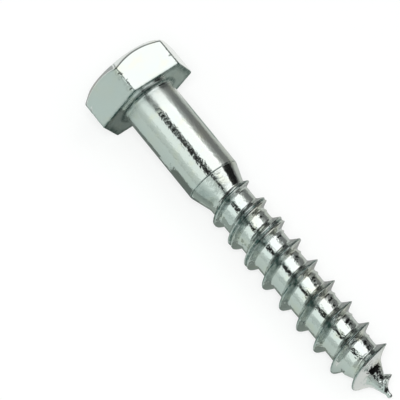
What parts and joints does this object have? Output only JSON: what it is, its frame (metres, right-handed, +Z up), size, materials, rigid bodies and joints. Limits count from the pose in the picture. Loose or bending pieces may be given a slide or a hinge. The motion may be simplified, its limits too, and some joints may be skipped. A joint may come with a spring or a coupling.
{
  "type": "lag screw",
  "caption": "Hex head lag screw: chamfered hexagon head, plain shank, coarse right-hand wood thread and a gimlet point.",
  "frame": {"origin": "centre of the bearing face under the head", "axes": "+Z up from the floor that the screw lies on, +X along the floor from the head to the point; the screw's own axis dips 3.37 degrees towards the point"},
  "size_m": [0.0717, 0.019, 0.0169],
  "materials": {
    "zinc_plated_steel": "bright zinc plating with a faint blue-green tint over rolled steel"
  },
  "bodies": {
    "root": {"lag_screw": "zinc_plated_steel"}
  },
  "joints": []
}
